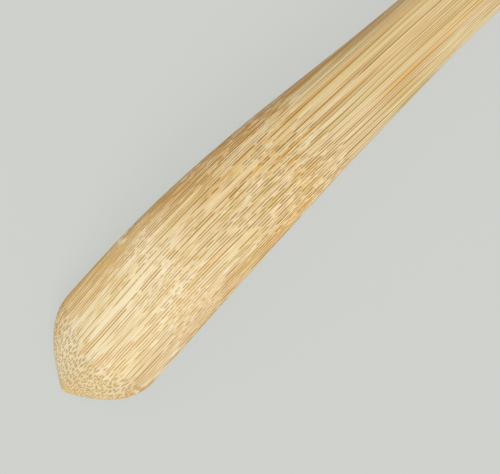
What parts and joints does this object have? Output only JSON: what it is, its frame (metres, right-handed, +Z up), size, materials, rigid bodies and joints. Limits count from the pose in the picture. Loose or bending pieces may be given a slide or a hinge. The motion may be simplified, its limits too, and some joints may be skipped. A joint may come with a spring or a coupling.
{
  "type": "tea scoop",
  "caption": "Bamboo tea scoop: a slender strip with a broad, bent, pointed blade at one end, a node ridge near the middle and a square-cut tail, used to lift powdered tea.",
  "frame": {"origin": "centre of the footprint, on the surface that the scoop lies on", "axes": "+X from the point to the tail, +Z up out of the carved back; the scoop lies face down on its point and on the lower edge of its tail"},
  "size_m": [0.1808, 0.011, 0.0103],
  "materials": {
    "bamboo": "satin"
  },
  "bodies": {
    "root": {"scoop_strip": "bamboo"}
  },
  "joints": []
}
